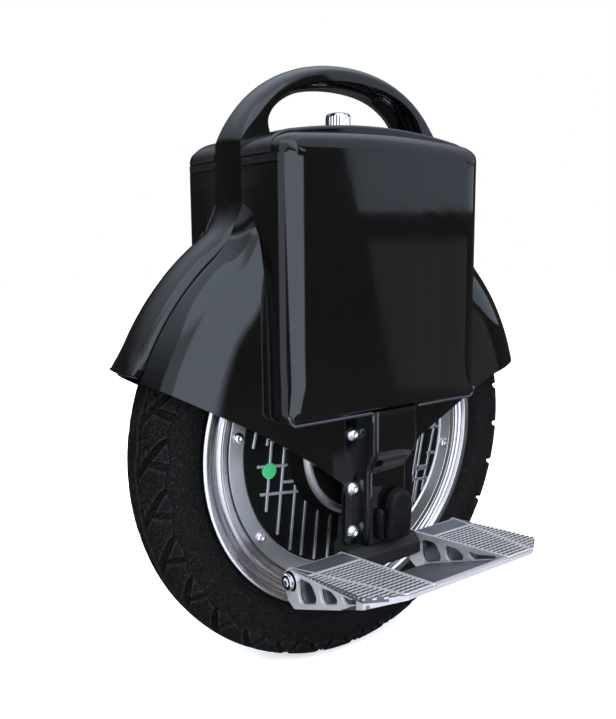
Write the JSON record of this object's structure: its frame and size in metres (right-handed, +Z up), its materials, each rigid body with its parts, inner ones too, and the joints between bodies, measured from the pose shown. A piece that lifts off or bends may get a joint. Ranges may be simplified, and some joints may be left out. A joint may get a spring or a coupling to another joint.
{
  "type": "electric self-balancing unicycle",
  "caption": "Self-balancing unicycle: one hub-motor wheel under a gloss black mudguard with carry handle, battery pods and folding footrests.",
  "frame": {"origin": "where the tyre touches the ground, straight under the axle's middle", "axes": "+X forward, +Y to the rider's left along the axle, +Z up"},
  "size_m": [0.3727, 0.3, 0.463],
  "materials": {
    "gloss_body": "moulded plastic, high gloss, near black",
    "tyre_rubber": "matt black rubber with block tread",
    "polished_rim": "polished and lacquered",
    "cast_cover": "die cast, satin, black paint in the recess",
    "cast_pedal": "die cast, satin, silver",
    "bright_fasteners": "nickel plated",
    "chrome_trim": "polished chrome",
    "plain_steel": "zinc plated steel",
    "bumper_rubber": "soft black rubber",
    "black_plastic": "matt black plastic",
    "copper_windings": "enamelled copper wire on a laminated core",
    "battery_wrap": "blue shrink wrap",
    "circuit_board": "green solder mask",
    "sink_metal": "extruded aluminium"
  },
  "bodies": {
    "body": {"axle": "plain_steel", "stator": "copper_windings", "left_axle_nut": "plain_steel", "right_axle_nut": "plain_steel", "spine": "gloss_body", "left_side_shell": "gloss_body", "right_side_shell": "gloss_body", "left_pod_cover": "gloss_body", "right_pod_cover": "gloss_body", "left_pod_lid": "gloss_body", "right_pod_lid": "gloss_body", "left_battery_pack": "battery_wrap", "right_battery_pack": "battery_wrap", "control_board": "circuit_board", "heat_sink": "sink_metal", "charge_socket": "chrome_trim", "button_bezel": "chrome_trim", "left_leg_bracket": "plain_steel", "right_leg_bracket": "plain_steel", "left_leg_channel": "gloss_body", "right_leg_channel": "gloss_body", "left_leg_bumper": "bumper_rubber", "right_leg_bumper": "bumper_rubber", "left_leg_bolt_1": "bright_fasteners", "left_leg_bolt_2": "bright_fasteners", "left_leg_bolt_3": "bright_fasteners", "right_leg_bolt_1": "bright_fasteners", "right_leg_bolt_2": "bright_fasteners", "right_leg_bolt_3": "bright_fasteners"},
    "wheel": {"tyre": "tyre_rubber", "rim": "polished_rim", "left_motor_cover": "cast_cover", "right_motor_cover": "cast_cover", "magnet_ring": "plain_steel", "left_bearing": "plain_steel", "right_bearing": "plain_steel", "valve": "black_plastic", "left_cover_screw_1": "bright_fasteners", "left_cover_screw_2": "bright_fasteners", "left_cover_screw_3": "bright_fasteners", "left_cover_screw_4": "bright_fasteners", "left_cover_screw_5": "bright_fasteners", "left_cover_screw_6": "bright_fasteners", "left_cover_screw_7": "bright_fasteners", "left_cover_screw_8": "bright_fasteners", "right_cover_screw_1": "bright_fasteners", "right_cover_screw_2": "bright_fasteners", "right_cover_screw_3": "bright_fasteners", "right_cover_screw_4": "bright_fasteners", "right_cover_screw_5": "bright_fasteners", "right_cover_screw_6": "bright_fasteners", "right_cover_screw_7": "bright_fasteners", "right_cover_screw_8": "bright_fasteners"},
    "left_pedal": {"left_pedal": "cast_pedal", "left_hinge_pin": "bright_fasteners"},
    "right_pedal": {"right_pedal": "cast_pedal", "right_hinge_pin": "bright_fasteners"},
    "power_button": {"power_button": "chrome_trim"},
    "charge_cap": {"charge_cap": "chrome_trim"}
  },
  "joints": [
    {"name": "wheel_spin", "type": "hinge", "parent": "body", "child": "wheel", "pos_m": [0, 0, 0.177], "axis": [0, 1, 0], "continuous": true},
    {"name": "left_pedal_fold", "type": "hinge", "parent": "body", "child": "left_pedal", "pos_m": [0, 0.054, 0.095], "axis": [1, 0, 0], "range_deg": [0, 69]},
    {"name": "right_pedal_fold", "type": "hinge", "parent": "body", "child": "right_pedal", "pos_m": [0, -0.054, 0.095], "axis": [-1, 0, 0], "range_deg": [0, 69]},
    {"name": "power_button_press", "type": "slide", "parent": "body", "child": "power_button", "axis": [0, 0, -1], "range_m": [0, 0.002], "stiffness_N_per_m": 400, "springref_m": -0.001},
    {"name": "charge_cap_lift", "type": "slide", "parent": "body", "child": "charge_cap", "axis": [0, 0, 1], "range_m": [0, 0.012]}
  ]
}
